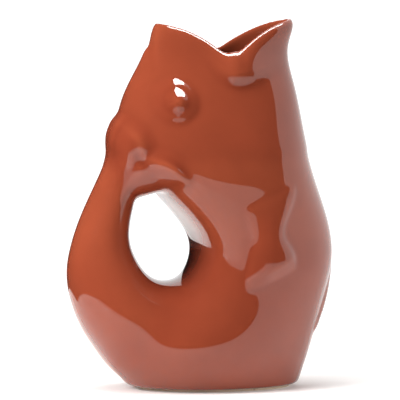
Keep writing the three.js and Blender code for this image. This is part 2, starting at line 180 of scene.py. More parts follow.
@dataclass
class BodyForm:
    """The fish's body, station by station from the foot up to the lips."""

    base: float = 2.3
    wall: float = 5.0
    floor: float = 6.0
    foot: Station = Station(0, -59.5, -3, 59, 88, 2, 1.9)
    waist: Station = Station(27, -10.5, 16, 84.3, 102.6, 3.0, 1.8)
    flank: Station = Station(27, -26.5, 13, 79.5, 106.5, 3.3, 1.8)
    brow: Station = Station(35, -66, -2.5, 60.5, 92, 2.2, 2.3)
    lip: Station = Station(20, -45, 8, 59.5, 49, 1.8, 1.9)
    stations: tuple[Station, ...] = (
        foot,
        Station(19, -73.5, -20, 66, 110.5, 2.1, 1.75),
        Station(22, -62.5, -15, 72, 110, 2.15, 1.85),
        Station(24, -26.5, 9, 78.5, 100, 2.3, 1.9),
        waist,
        flank,
        Station(30, -54, 7, 68.5, 109.5, 2.7, 2.1),
        brow,
        Station(25, -58.5, -1.5, 55.5, 70, 2, 2.3),
        Station(22, -48, 2.5, 52.5, 52, 1.9, 2),
        lip,
    )
    lip_bead: float = 5.6
    mouth_depth: float = 17.0
    mouth_corner_x: float = 6.0
    mouth_corner_round: float = 5.0
    front_rim_arch: float = 4.5
    back_rim_arch: float = 3.0
    back_lip_drop: float = 2.0
    back_lip_round: float = 8.0
    lip_thickening: float = 3.0
    lip_depth: float = 16.0
    eye: EyeForm = EyeForm()
    fold_rise: float = 7.0
    fold_half_back: float = 12.0
    fold_half_front: float = 22.0
    fold_depth: float = 18.0
    fold_ease: float = 11.0
    fold_bow: float = 5.0
    fold_ahead: float = 2.5
    section_ease: float = 0.6
    swell_fade: float = 2.0
    back_lip_tuck: float = 1.0
    levels: int = 420
    around: int = 400
    rim_steps: int = 40

    def __post_init__(self) -> None:
        """Lay the splines through the stations."""
        heights = list(self.base + np.cumsum([s.rise for s in self.stations]))
        self.height_of = dict(zip(self.stations, heights))
        self.lip_top = heights[-1] + self.lip_bead
        self.corner_z = heights[-1] - self.mouth_depth
        self.back = Spline(heights, [s.back for s in self.stations])
        self.front = Spline(heights, [s.front for s in self.stations])
        self.widest = Spline(heights, [s.widest for s in self.stations])
        self.width = Spline(heights, [s.width for s in self.stations])
        self.back_power = Spline(heights, [s.back_power for s in self.stations])
        self.front_power = Spline(heights, [s.front_power for s in self.stations])

    def fold(self, x: np.ndarray, z: np.ndarray) -> np.ndarray:
        """Swell of the fold of clay under each corner of the mouth.

        Args:
            x: Places along the jug.
            z: Heights.

        Returns:
            Rise above the body.
        """
        ahead = x - self.mouth_corner_x - self.fold_ahead
        ahead = ahead / np.where(ahead > 0, self.fold_half_front, self.fold_half_back)
        below = self.corner_z - z + self.fold_bow * ahead**2
        upper = 1 - smooth_step(self.fold_depth, self.fold_depth + self.fold_ease, below)
        return self.fold_rise * np.exp(-(ahead**2)) * upper

    def power(self, toward_front: np.ndarray, z: np.ndarray) -> np.ndarray:
        """Section power, eased from the back half to the front half so that reflections run on."""
        share = smooth_step(-self.section_ease, self.section_ease, toward_front)
        return self.back_power(z) + (self.front_power(z) - self.back_power(z)) * share

    def side_at(self, x: np.ndarray, z: np.ndarray) -> np.ndarray:
        """Half width of the outside at points of the plane of symmetry.

        Args:
            x: Places along the jug.
            z: Heights.

        Returns:
            Distances from the plane of symmetry.
        """
        centre = self.widest(z)
        reach = np.where(x > centre, self.front(z) - centre, centre - self.back(z))
        share = np.clip((x - centre) / reach, -1, 1)
        power = self.power(share, z)
        return self.width(z) / 2 * (1 - np.abs(share) ** power) ** (1 / power) + self.fold(x, z)

    def front_at(self, y: np.ndarray, z: np.ndarray) -> np.ndarray:
        """Where the front lies at distances from the plane of symmetry.

        Args:
            y: Distances from the plane of symmetry.
            z: Heights.

        Returns:
            Places along the jug.
        """
        centre = self.widest(z)
        share = np.clip(np.abs(y) / (self.width(z) / 2), 0, 1)
        power = self.front_power(z)
        return centre + (self.front(z) - centre) * (1 - share**power) ** (1 / power)

    def rings(self, low: float, high: float, inset: float) -> np.ndarray:
        """Horizontal sections of the body, or of its inside.

        Args:
            low: Lowest height.
            high: Highest height.
            inset: Distance in from the outside.

        Returns:
            Points, ring by ring.
        """
        z = np.linspace(low, high, self.levels)[:, None]
        angle = np.linspace(0, 2 * np.pi, self.around, endpoint=False)[None, :]
        c, s = np.cos(angle), np.sin(angle)
        power = self.power(c, z)
        centre = self.widest(z)
        reach = np.where(c > 0, self.front(z) - centre, centre - self.back(z)) - inset
        side = self.width(z) / 2 - inset
        x = centre + reach * np.sign(c) * np.abs(c) ** (2 / power)
        swell = self.fold(x, z) + (self.eye.swell(x, z) if inset == 0 else 0)
        swell = swell * np.clip(self.swell_fade * np.abs(s), 0, 1)
        y = np.sign(s) * (side * np.abs(s) ** (2 / power) + swell)
        return np.stack([x, y, z + 0 * x], -1)

    @cached_property
    def rim(self) -> tuple[np.ndarray, np.ndarray]:
        """The rim seen from the side: both lips, the arches between and the rounded corner.

        Returns:
            Places along the jug and the rim's height at each.
        """
        peak_x = self.lip.back + self.back_lip_round - self.back_lip_tuck
        peak = np.array([peak_x, self.lip_top - self.back_lip_drop])
        corner = np.array([self.mouth_corner_x, self.corner_z])
        tip = np.array([self.lip.front, self.lip_top])
        before = corner + (peak - corner) * self.mouth_corner_round / (corner[0] - peak[0])
        after = corner + (tip - corner) * self.mouth_corner_round / (tip[0] - corner[0])
        back_arch = (peak + before) / 2 + np.array([0, 2 * self.back_rim_arch])
        front_arch = (after + tip) / 2 + np.array([0, 2 * self.front_rim_arch])
        low = peak - np.array([self.back_lip_round, self.back_lip_round])
        over = peak - np.array([self.back_lip_round, 0])
        t = np.linspace(0, 1, self.rim_steps)[:, None]
        runs = []
        bends = (
            (low, over, peak), (peak, back_arch, before), (before, corner, after), (after, front_arch, tip))
        for start, pull, end in bends:
            runs.append((1 - t) ** 2 * start + 2 * t * (1 - t) * pull + t**2 * end)
        line = np.concatenate(runs)
        return line[:, 0], line[:, 1]


@dataclass(frozen=True)
class TailStation:
    """One crossing of the tail, from its outer edge to the edge that faces the body."""

    outer_x: float
    outer_z: float
    inner_x: float
    inner_z: float
    wide: float


@dataclass
class TailForm:
    """The hollow tail that curls up as the handle, and the fluke that hugs the head."""

    body: BodyForm
    fluke_notch: float = 6.5
    notch_at: float = -0.18
    notch_wide: float = 0.35
    fluke_edge: float = 3.5
    upper_lobe_stand: float = 12.0
    stand_fades: tuple[float, float] = (-0.9, 0.4)
    flare_power: float = 1.5
    rim_power: float = 0.28
    rim_power_drop: float = 0.08
    rim_power_fades: tuple[float, float] = (-0.4, 0.6)
    lobes_before_start: float = 0.3
    lobes_before_end: float = 0.9
    merge_power: int = 8
    crossings: int = 400
    around: int = 300
    low_tail: tuple[TailStation, ...] = (
        TailStation(5.5, 14, 5.5, 66, 72),
        TailStation(-63.5, 16.5, -35.5, 72, 93),
        TailStation(-95, 49.5, -51, 80, 79),
        TailStation(-102, 89.5, -60, 103.5, 54),
        TailStation(-88.5, 130.5, -57, 127, 45),
    )
    fluke: tuple[TailStation, ...] = (
        TailStation(-75, 160.3, -54.5, 132.3, 46),
        TailStation(-74, 174.5, -41, 137.3, 54),
        TailStation(-69.5, 182.5, -26, 141.5, 40),
    )

    def __post_init__(self) -> None:
        """Lay the splines through the crossings."""
        stations = self.low_tail + self.fluke
        stops = list(range(len(stations)))
        self.fluke_start = len(self.low_tail)
        self.fluke_end = stops[-1]
        self.outer_x = Spline(stops, [s.outer_x for s in stations])
        self.outer_z = Spline(stops, [s.outer_z for s in stations])
        self.inner_x = Spline(stops, [s.inner_x for s in stations])
        self.inner_z = Spline(stops, [s.inner_z for s in stations])
        self.wide = Spline(stops, [s.wide for s in stations])

    def rings(self, start: float, end: float, inset: float) -> np.ndarray:
        """Sections across the tail: ovals that turn, along the fluke, into a forked rim on the head.

        Args:
            start: First stop.
            end: Last stop.
            inset: Distance in from the outside.

        Returns:
            Points, ring by ring.
        """
        stop = np.linspace(start, end, self.crossings)[:, None]
        angle = np.linspace(0, 2 * np.pi, self.around, endpoint=False)[None, :]
        c, s = np.cos(angle), np.sin(angle)
        mid_x = (self.outer_x(stop) + self.inner_x(stop)) / 2
        mid_z = (self.outer_z(stop) + self.inner_z(stop)) / 2
        reach_x, reach_z = self.inner_x(stop) - mid_x, self.inner_z(stop) - mid_z
        length = np.hypot(reach_x, reach_z)
        in_x, in_z = reach_x / length, reach_z / length
        start_at = self.fluke_start - 1
        flare = np.clip((stop - start_at) / (self.fluke_end - start_at), 0, 1) ** self.flare_power
        lobes_from = self.fluke_start - self.lobes_before_start
        near_rim = smooth_step(lobes_from, self.fluke_end - self.lobes_before_end, stop)
        dip = np.exp(-(((c - self.notch_at) / self.notch_wide) ** 2)) * np.abs(s)
        notch = self.fluke_notch * flare**2 * dip
        x = mid_x + in_x * (length - inset) * c + in_z * notch
        z = mid_z + in_z * (length - inset) * c - in_x * notch
        edge = self.fluke_edge - inset
        stand = self.upper_lobe_stand * (1 - smooth_step(*self.stand_fades, c))
        rim_y = self.body.side_at(x[-1:], z[-1:]) + edge + stand
        lip = np.abs(s) ** (self.rim_power - self.rim_power_drop * smooth_step(*self.rim_power_fades, c))
        stem = (self.wide(stop) / 2 - inset) * np.abs(s)
        trumpet = stem + (rim_y * lip - stem) * flare
        lobe = (self.body.side_at(x, z) + edge) * lip * near_rim
        y = np.sign(s) * (trumpet**self.merge_power + lobe**self.merge_power) ** (1 / self.merge_power)
        return np.stack([x, y, z], -1)


@dataclass
class FlapForm:
    """Fins that lie on the body, flush at their root and standing free at their lower edge."""

    root_depth: float = 7.0
    edge_round: float = 1.6

    def shell(self, rows: np.ndarray, rise: np.ndarray, body: BodyForm, on_front: bool) -> np.ndarray:
        """Close a patch of the body's skin, pushed out and in, into a flap.

        Args:
            rows: Points of the patch as (across or along, height), row by row.
            rise: How far each point stands off the body.
            body: The body that carries the flap.
            on_front: True on the front of the body, False on its side.

        Returns:
            Points, ring by ring.
        """
        a, z = rows[..., 0], rows[..., 1]
        skin = body.front_at(a, z) if on_front else body.side_at(a, z)
        high, low = skin + rise, skin - self.root_depth
        outer = np.stack([high, a, z] if on_front else [a, high, z], -1)
        inner = np.stack([low, a, z] if on_front else [a, low, z], -1)
        return np.concatenate([outer, inner[:, ::-1]], 1)


@dataclass
class PectoralFin(FlapForm):
    """The fin on each side of the body, drawn in at half its height."""

    back_x: float = 11.0
    length: float = 34.5
    front_notch: float = 9.0
    back_notch: float = 4.0
    height: float = 55.0
    slant: float = 15.0
    above_flank: float = 12.0
    rise: float = 7.0
    rise_power: float = 0.8
    drawn_in_speed: float = 1.05
    crown_power: float = 0.5
    side_share: float = 0.15
    edge_from: float = 0.9
    edge_drop: float = 0.5
    rows: int = 60
    columns: int = 48

    def rings(self, body: BodyForm) -> np.ndarray:
        """Rows of the fin from its root down to its free edge.

        Args:
            body: The body that carries the fin.

        Returns:
            Points, ring by ring.
        """
        share = np.linspace(0, 1, self.rows)[:, None]
        across = np.linspace(0, 1, self.columns)[None, :]
        tuck = self.edge_round
        drawn_in = np.sin(np.pi * np.clip(share * self.drawn_in_speed, 0, 1)) ** 2
        start = self.back_x + tuck + self.back_notch * drawn_in
        end = self.back_x + self.length - tuck - self.front_notch * drawn_in
        x = start + (end - start) * across
        root_z = body.height_of[body.flank] + self.above_flank - tuck
        z_mid = root_z - (self.height - 2 * tuck) * share
        z = z_mid + self.slant * ((x - self.back_x) / self.length - 0.5)
        crown = np.sin(np.pi * np.clip(across, 0, 1)) ** self.crown_power
        free_edge = 1 - self.edge_drop * smooth_step(self.edge_from, 1, share)
        bulge = self.side_share + (1 - self.side_share) * crown
        rise = self.rise * share**self.rise_power * free_edge * bulge - tuck
        return self.shell(np.stack([x, z], -1), rise, body, False)


@dataclass
class BellyFin(FlapForm):
    """The fin on the front of the belly, flush at its upper end."""

    width: float = 26.0
    height: float = 46.0
    below_waist: float = 9.0
    rise: float = 4.0
    top_share: float = 0.4
    side_share: float = 0.55
    crown_share: float = 0.45
    rounded_to: float = 0.85
    rows: int = 48
    columns: int = 40

    def rings(self, body: BodyForm) -> np.ndarray:
        """Rows of the fin from its upper end down.

        Args:
            body: The body that carries the fin.

        Returns:
            Points, ring by ring.
        """
        share = np.linspace(0, 1, self.rows)[:, None]
        across = np.linspace(1, -1, self.columns)[None, :]
        tuck = self.edge_round
        y = (self.width / 2 - tuck) * (self.top_share + (1 - self.top_share) * share) * across
        top_z = body.height_of[body.waist] - self.below_waist - tuck
        z = top_z - (self.height - 2 * tuck) * share + 0 * y
        crown = self.side_share + self.crown_share * np.clip(1 - across**2, 0, 1) ** 0.5
        rise = self.rise * np.sin(np.pi * share * self.rounded_to) * crown - tuck
        return self.shell(np.stack([y, z], -1), rise, body, True)


@dataclass
class ClayField:
    """A block of space in which each place holds its distance to the clay, negative inside it."""

    voxel: float = 1.2
    reach: float = 9.0
    low: tuple[int, int, int] = (-112, -68, -8)
    high: tuple[int, int, int] = (94, 68, 266)
    sponge_reach: float = 2.2
    last_cell: float = 1.001

    def __post_init__(self) -> None:
        """Set the grid, with the plane of symmetry on its middle row."""
        self.first = np.floor(np.array(self.low) / self.voxel).astype(int)
        last = np.ceil(np.array(self.high) / self.voxel).astype(int)
        last[1] = -self.first[1]
        self.shape = tuple(last - self.first + 1)
        self.transform = vdb.createLinearTransform(voxelSize=self.voxel)
        axes = [(self.first[i] + np.arange(self.shape[i])) * self.voxel for i in range(3)]
        self.x, self.y, self.z = np.meshgrid(*axes, indexing="ij", sparse=True)

    def solid(self, rings: np.ndarray) -> np.ndarray:
        """Distance to a closed skin over rings.

        Args:
            rings: Points, ring by ring, each ring closed.

        Returns:
            Signed distances over the block.
        """
        count, around = rings.shape[:2]
        middles = rings[0].mean(0)[None], rings[-1].mean(0)[None]
        points = np.concatenate([rings.reshape(-1, 3), *middles])
        j = np.arange(around)
        after = (j + 1) % around
        i = np.arange(count - 1)[:, None] * around
        quads = np.stack([i + j, i + after, i + around + after, i + around + j], -1).reshape(-1, 4)
        top = (count - 1) * around
        first_cap = np.stack([0 * j + count * around, after, j], -1)
        last_cap = np.stack([0 * j + count * around + 1, top + j, top + after], -1)
        caps = np.concatenate([first_cap, last_cap])
        grid = vdb.FloatGrid.createLevelSetFromPolygons(
            points.astype(np.float32), triangles=caps.astype(np.uint32), quads=quads.astype(np.uint32),
            transform=self.transform, halfWidth=self.reach)
        field = np.empty(self.shape, np.float32)
        grid.copyToArray(field, ijk=tuple(int(v) for v in self.first))
        return field

    @staticmethod
    def join(a: np.ndarray, b: np.ndarray, fillet: np.ndarray | float) -> np.ndarray:
        """Join two solids with a fillet of slip.

        Args:
            a: Distances to one solid.
            b: Distances to the other.
            fillet: Width of the eased joint.

        Returns:
            Distances to both together.
        """
        share = np.clip(0.5 + 0.5 * (b - a) / fillet, 0, 1)
        return b + (a - b) * share - fillet * share * (1 - share)

    @classmethod
    def cut(cls, a: np.ndarray, b: np.ndarray, easing: float) -> np.ndarray:
        """Cut the second solid out of the first, with an eased edge."""
        return -cls.join(-a, b, easing)

    def eased(
            self, field: np.ndarray, rising: tuple[float, float], falling: tuple[float, float],
            passes: int) -> np.ndarray:
        """Sponge a belt of the clay to one flowing surface, fading out above and below.

        Args:
            field: Distances to the clay.
            rising: Heights between which the sponging sets in.
            falling: Heights between which it fades out.
            passes: How often the sponge goes over.

        Returns:
            Distances to the sponged clay.
        """
        share = smooth_step(*rising, self.z) * (1 - smooth_step(*falling, self.z))
        margin = math.ceil(self.sponge_reach * math.sqrt(passes))
        top = int(falling[1] / self.voxel - self.first[2]) + margin
        result, low = field.copy(), field[:, :, :top]
        result[:, :, :top] += (self.sponged(low, passes) - low) * share[:, :, :top]
        return result

    @staticmethod
    def sponged(field: np.ndarray, passes: int) -> np.ndarray:
        """Even out tool marks; more passes ease wider ones.

        Args:
            field: Distances to the clay.
            passes: How often the sponge goes over.

        Returns:
            Distances to the sponged clay.
        """
        for axis in (0, 1, 2) * passes:
            field = 0.5 * field + 0.25 * (np.roll(field, 1, axis) + np.roll(field, -1, axis))
        return field

    def sample(self, field: np.ndarray, points: np.ndarray) -> np.ndarray:
        """Read a field between its places.

        Args:
            field: Values over the block.
            points: Places.

        Returns:
            Value at each place.
        """
        at = np.clip(points / self.voxel - self.first, 0, np.array(self.shape) - self.last_cell)
        cell = at.astype(int)
        part = at - cell
        total = np.zeros(len(points))
        for corner in range(8):
            step = np.array([corner & 1, corner >> 1 & 1, corner >> 2 & 1])
            share = np.prod(np.where(step, part, 1 - part), 1)
            i, j, k = (cell + step).T
            total += share * field[i, j, k]
        return total


@dataclass
class GlazedSkin:
    """Every glazed piece of the jug as one skin, luted, sponged and glazed."""

    name: str = "glazed_jug"
    stands_for: tuple[str, ...] = (
        "body_shell", "tail_root", "tail_handle", "tail_fin", "left_pectoral_fin", "right_pectoral_fin",
        "left_eye", "right_eye", "belly_fin")
    tail_fillet: float = 16.0
    belt_rising: tuple[float, float] = (8.0, 26.0)
    belt_falling: tuple[float, float] = (78.0, 106.0)
    belt_passes: int = 60
    fluke_fillet: float = 3.0
    fluke_fillet_rising: tuple[float, float] = (80.0, 130.0)
    upper_lobe_fillet: float = 15.0
    upper_lobe_rising: tuple[float, float] = (150.0, 168.0)
    rim_round: float = 1.5
    fin_fillet: float = 3.5
    foot_round: float = 3.0
    lip_outer_round: float = 16.0
    lip_round: float = 4.0
    bore_fillet: float = 10.0
    bore_end_before_fluke: float = 0.2
    last_passes: int = 3
    relax_rounds: int = 4
    hidden_below_rim: float = 30.0
    hidden_share: float = 0.12
    hidden_depth: float = 0.6
    kept_share: float = 0.68
    relax_step: float = 0.6
    flow_gain: float = 1.2
    below_table: float = 12.0
    above_lip: float = 10.0
    hollow_above_lip: float = 20.0

    def __post_init__(self) -> None:
        """Set up the clay pieces."""
        self.body = BodyForm()
        self.tail = TailForm(self.body)
        self.clay = ClayField()

    def outside(self) -> np.ndarray:
        """Lute every clay piece on.

        Returns:
            Distances to the whole outside.
        """
        clay, body = self.clay, self.body
        form = clay.solid(body.rings(-self.below_table, body.lip_top + self.above_lip, 0))
        form = clay.cut(form, clay.z - body.base + 0 * form, self.foot_round)
        tail = clay.solid(self.tail.rings(0, self.tail.fluke_end, self.rim_round)) - self.rim_round
        fluke_share = smooth_step(*self.fluke_fillet_rising, clay.z)
        lobe_share = smooth_step(*self.upper_lobe_rising, clay.z)
        fillet = self.tail_fillet + (self.fluke_fillet - self.tail_fillet) * fluke_share
        fillet = fillet + (self.upper_lobe_fillet - self.fluke_fillet) * lobe_share
        form = clay.join(form, tail, fillet)
        form = clay.eased(form, self.belt_rising, self.belt_falling, self.belt_passes)
        pectoral = clay.solid(PectoralFin().rings(body)) - FlapForm.edge_round
        belly = clay.solid(BellyFin().rings(body)) - FlapForm.edge_round
        form = clay.join(form, np.minimum(pectoral, pectoral[:, ::-1]), self.fin_fillet)
        return clay.join(form, belly, self.fin_fillet)

    def inside(self) -> np.ndarray:
        """Hollow out the belly, the throat and the bore of the tail.

        Returns:
            Distances to the hollow.
        """
        clay, body = self.clay, self.body
        top = body.lip_top + self.hollow_above_lip
        cavity = clay.solid(body.rings(body.base + body.floor, top, body.wall))
        cavity += body.lip_thickening * (1 - smooth_step(0, body.lip_depth, self.above_rim()))
        bore_end = self.tail.fluke_start - self.bore_end_before_fluke
        bore = clay.solid(self.tail.rings(0, bore_end, body.wall))
        return clay.join(cavity, bore, self.bore_fillet)

    def above_rim(self) -> np.ndarray:
        """Measure how far each place lies under the rim.

        Returns:
            Distances to everything above the rim.
        """
        clay = self.clay
        rim = np.interp(clay.x, *self.body.rim)
        slope = np.gradient(rim, axis=0) / clay.voxel
        return (rim - clay.z) / np.sqrt(1 + slope**2)

    def build(self, material: bpy.types.Material) -> bpy.types.Object:
        """Make the skin and glaze it.

        Args:
            material: The glaze.

        Returns:
            The skin's object.
        """
        clay = self.clay
        outside = self.outside()
        field = clay.cut(outside, self.above_rim() + 0 * outside, self.lip_outer_round)
        field = clay.sponged(clay.cut(field, self.inside(), self.lip_round), self.last_passes)
        grid = vdb.FloatGrid(float(clay.reach * clay.voxel))
        grid.transform = clay.transform
        grid.copyFromArray(field.astype(np.float32), ijk=tuple(int(v) for v in clay.first))
        points, quads = grid.convertToQuads(0.0)
        points, quads = np.array(points, float), np.array(quads, int)
        points = self.relaxed(points, quads, field)
        mesh = bpy.data.meshes.new(self.name)
        mesh.from_pydata((points * MM).tolist(), [], quads.tolist())
        mesh.update()
        skin = bpy.data.objects.new(self.name, mesh)
        bpy.context.scene.collection.objects.link(skin)
        self.thin_hidden(skin, clay.sample(outside, points), points)
        self.turn_outwards(skin.data)
        self.mark_flow(skin.data, field)
        self.smooth_normals(skin.data, field)
        skin.data.materials.append(material)
        return skin

    def relaxed(self, points: np.ndarray, quads: np.ndarray, field: np.ndarray) -> np.ndarray:
        """Even out the points along the surface and set them back on it.

        Args:
            points: Points of the skin.
            quads: Faces of the skin.
            field: Distances to the clay.

        Returns:
            Points on the surface.
        """
        clay = self.clay
        slopes = np.gradient(field, clay.voxel)
        ends = np.concatenate([quads[:, [k, (k + 1) % 4]] for k in range(4)])
        count = np.zeros(len(points))
        np.add.at(count, ends[:, 0], 1)
        np.add.at(count, ends[:, 1], 1)
        for _ in range(self.relax_rounds):
            normal = np.stack([clay.sample(g, points) for g in slopes], -1)
            normal /= np.linalg.norm(normal, axis=1)[:, None] + TINY
            total = np.zeros_like(points)
            np.add.at(total, ends[:, 0], points[ends[:, 1]])
            np.add.at(total, ends[:, 1], points[ends[:, 0]])
            drift = total / count[:, None] - points
            points = points + self.relax_step * (drift - normal * np.sum(drift * normal, 1)[:, None])
            points = points - normal * clay.sample(field, points)[:, None]
        return points

    def thin_hidden(self, skin: bpy.types.Object, depth: np.ndarray, points: np.ndarray) -> None:
        """Take most faces out of the walls of the hollow, far below the rim, and a third of the rest.

        Args:
            skin: The skin's object.
            depth: Distance of each point to the outside.
            points: The skin's points.
        """
        rim = np.interp(points[:, 0], *self.body.rim)
        inner = depth < -self.hidden_depth * self.body.wall
        hidden = np.nonzero(inner & (points[:, 2] < rim - self.hidden_below_rim))[0]
        group = skin.vertex_groups.new(name="hidden")
        group.add(hidden.tolist(), 1.0, "REPLACE")
        thin = skin.modifiers.new("thin", "DECIMATE")
        thin.vertex_group = group.name
        thin.ratio = 1 - (1 - self.hidden_share) * len(hidden) / len(points)
        skin.modifiers.new("thin_evenly", "DECIMATE").ratio = self.kept_share
        graph = bpy.context.evaluated_depsgraph_get()
        mesh = bpy.data.meshes.new_from_object(skin.evaluated_get(graph))
        skin.modifiers.clear()
        skin.vertex_groups.clear()
        skin.data = mesh

    @staticmethod
    def places(mesh: bpy.types.Mesh) -> np.ndarray:
        """Read where a mesh's points are.

        Args:
            mesh: Any mesh.

        Returns:
            Its points, in metres.
        """
        flat = np.empty(len(mesh.vertices) * 3, np.float32)
        mesh.vertices.foreach_get("co", flat)
        return flat.reshape(-1, 3)

    def turn_outwards(self, mesh: bpy.types.Mesh) -> None:
        """Point the faces out of the clay and shade them smooth.

        Args:
            mesh: The skin's mesh.
        """
        mesh.calc_loop_triangles()
        corners = np.empty(len(mesh.loop_triangles) * 3, np.int32)
        mesh.loop_triangles.foreach_get("vertices", corners)
        a, b, c = self.places(mesh)[corners.reshape(-1, 3)].astype(float).transpose(1, 0, 2)
        if np.sum(a * np.cross(b, c)) < 0:
            mesh.flip_normals()
        mesh.shade_smooth()

    def mark_flow(self, mesh: bpy.types.Mesh, field: np.ndarray) -> None:
        """Store where molten glaze ran thin over edges, 1, and pooled in hollows, 0.

        Args:
            mesh: The skin's mesh.
            field: Distances to the clay.
        """
        voxel = self.clay.voxel
        bend = sum(np.gradient(np.gradient(field, voxel, axis=i), voxel, axis=i) for i in range(3))
        at = self.clay.sample(bend, self.places(mesh) / MM)
        flow = mesh.attributes.new("glaze_flow", "FLOAT", "POINT")
        flow.data.foreach_set("value", np.clip(0.5 + at * self.flow_gain, 0, 1).astype(np.float32))

    def smooth_normals(self, mesh: bpy.types.Mesh, field: np.ndarray) -> None:
        """Shade with the field's own slopes, so that reflections run without ripples.

        Args:
            mesh: The skin's mesh.
            field: Distances to the clay.
        """
        points = self.places(mesh) / MM
        slopes = np.gradient(field, self.clay.voxel)
        normal = np.stack([self.clay.sample(g, points) for g in slopes], -1)
        normal /= np.linalg.norm(normal, axis=1)[:, None] + TINY
        mesh.normals_split_custom_set_from_vertices(normal.tolist())


class NodeTree:
    """A node tree under construction."""

    def __init__(self, tree: bpy.types.NodeTree) -> None:
        """Keep the tree.

        Args:
            tree: An empty tree.
        """
        self.tree = tree

    def add(
            self, kind: str, links: dict | None = None, values: dict | None = None,
            **settings: object) -> bpy.types.Node:
        """Add a node with its settings and links.

        Args:
            kind: Blender's name for the node.
            links: Output socket to link to each input, by the input's name or number.
            values: Value to set on each input, by its name or number.
            settings: Properties of the node.

        Returns:
            The new node.
        """
        node = self.tree.nodes.new(kind)
        for key, value in settings.items():
            setattr(node, key, value)
        for key, value in (values or {}).items():
            node.inputs[key].default_value = value
        for key, source in (links or {}).items():
            self.tree.links.new(source, node.inputs[key])
        return node


@dataclass(frozen=True)
class GlossGlaze:
    """Terracotta-red gloss glaze on stoneware, dipped and fired.

    It gives the eye a wet, glassy shine over an even, warm red-brown that breaks lighter where the glaze ran
    thin over edges and deepens where it pooled, with a faint cloudiness and the slight ripple of melted glass.
    """

    name: str = "gloss_glaze_dipped"
    thin: str = "#92442c"
    even: str = "#833824"
    pooled: str = "#722f1d"
    pooled_to: float = 0.2
    thin_from: float = 0.85
    cloud_mm: float = 26.0
    cloud_tone: float = 0.04
    ripple_mm: float = 9.0
    ripple_depth_mm: float = 0.004
    roughness: float = 0.04
    ior: float = 1.52

    def material(self) -> bpy.types.Material:
        """Build the glaze.

        Returns:
            The material.
        """
        material = bpy.data.materials.new(self.name)
        material.use_nodes = True
        material.node_tree.nodes.clear()
        tree = NodeTree(material.node_tree)
        place = tree.add("ShaderNodeTexCoord").outputs["Object"]
        flow = tree.add("ShaderNodeAttribute", attribute_name="glaze_flow").outputs["Fac"]
        ramp = tree.add("ShaderNodeValToRGB", {"Fac": flow})
        stops = ramp.color_ramp.elements
        stops[0].position, stops[0].color = self.pooled_to, linear(self.pooled)
        stops[1].position, stops[1].color = self.thin_from, linear(self.thin)
        stops.new(0.5).color = linear(self.even)
        cloud = tree.add(
            "ShaderNodeTexNoise", {"Vector": place},
            {"Scale": 1 / (self.cloud_mm * MM), "Detail": 3.0, "Roughness": 0.55})
        tone = tree.add(
            "ShaderNodeMapRange", {"Value": cloud.outputs["Fac"]},
            {"From Min": 0.3, "From Max": 0.7, "To Min": 1 - self.cloud_tone, "To Max": 1 + self.cloud_tone})
        colour = tree.add(
            "ShaderNodeHueSaturation", {"Color": ramp.outputs["Color"], "Value": tone.outputs["Result"]})
        ripple = tree.add(
            "ShaderNodeTexNoise", {"Vector": place}, {"Scale": 1 / (self.ripple_mm * MM), "Detail": 1.0})
        bump = tree.add(
            "ShaderNodeBump", {"Height": ripple.outputs["Fac"]},
            {"Strength": 1.0, "Distance": self.ripple_depth_mm * MM})
        shader = tree.add(
            "ShaderNodeBsdfPrincipled",
            {"Base Color": colour.outputs["Color"], "Normal": bump.outputs["Normal"]},
            {"Roughness": self.roughness, "IOR": self.ior})
        tree.add("ShaderNodeOutputMaterial", {"Surface": shader.outputs["BSDF"]})
        return material


@dataclass(frozen=True)
class BareStoneware:
    """Buff stoneware, wiped free of glaze and fired bare.

    It gives the eye a dry, chalky face with a fine grit and small brown iron specks.
    """

    name: str = "bare_stoneware_wiped"
    clay: str = "#cdbba4"
    speck: str = "#8a6a4c"
    grit_mm: float = 0.6
    grit_depth_mm: float = 0.05
    grit_strength: float = 0.6
    speck_mm: float = 3.0
    speck_from: float = 0.6
    speck_full: float = 0.72
    roughness: float = 0.85

    def material(self) -> bpy.types.Material:
        """Build the bare clay.

        Returns:
            The material.
        """
        material = bpy.data.materials.new(self.name)
        material.use_nodes = True
        material.node_tree.nodes.clear()
        tree = NodeTree(material.node_tree)
        place = tree.add("ShaderNodeTexCoord").outputs["Object"]
        grit = tree.add(
            "ShaderNodeTexNoise", {"Vector": place}, {"Scale": 1 / (self.grit_mm * MM), "Detail": 2.0})
        specks = tree.add(
            "ShaderNodeTexNoise", {"Vector": place}, {"Scale": 1 / (self.speck_mm * MM), "Detail": 4.0})
        ramp = tree.add("ShaderNodeValToRGB", {"Fac": specks.outputs["Fac"]})
        stops = ramp.color_ramp.elements
        stops[0].position, stops[0].color = self.speck_from, linear(self.clay)
        stops[1].position, stops[1].color = self.speck_full, linear(self.speck)
        bump = tree.add(
            "ShaderNodeBump", {"Height": grit.outputs["Fac"]},
            {"Strength": self.grit_strength, "Distance": self.grit_depth_mm * MM})
        shader = tree.add(
            "ShaderNodeBsdfPrincipled",
            {"Base Color": ramp.outputs["Color"], "Normal": bump.outputs["Normal"]},
            {"Roughness": self.roughness})
        tree.add("ShaderNodeOutputMaterial", {"Surface": shader.outputs["BSDF"]})
        return material


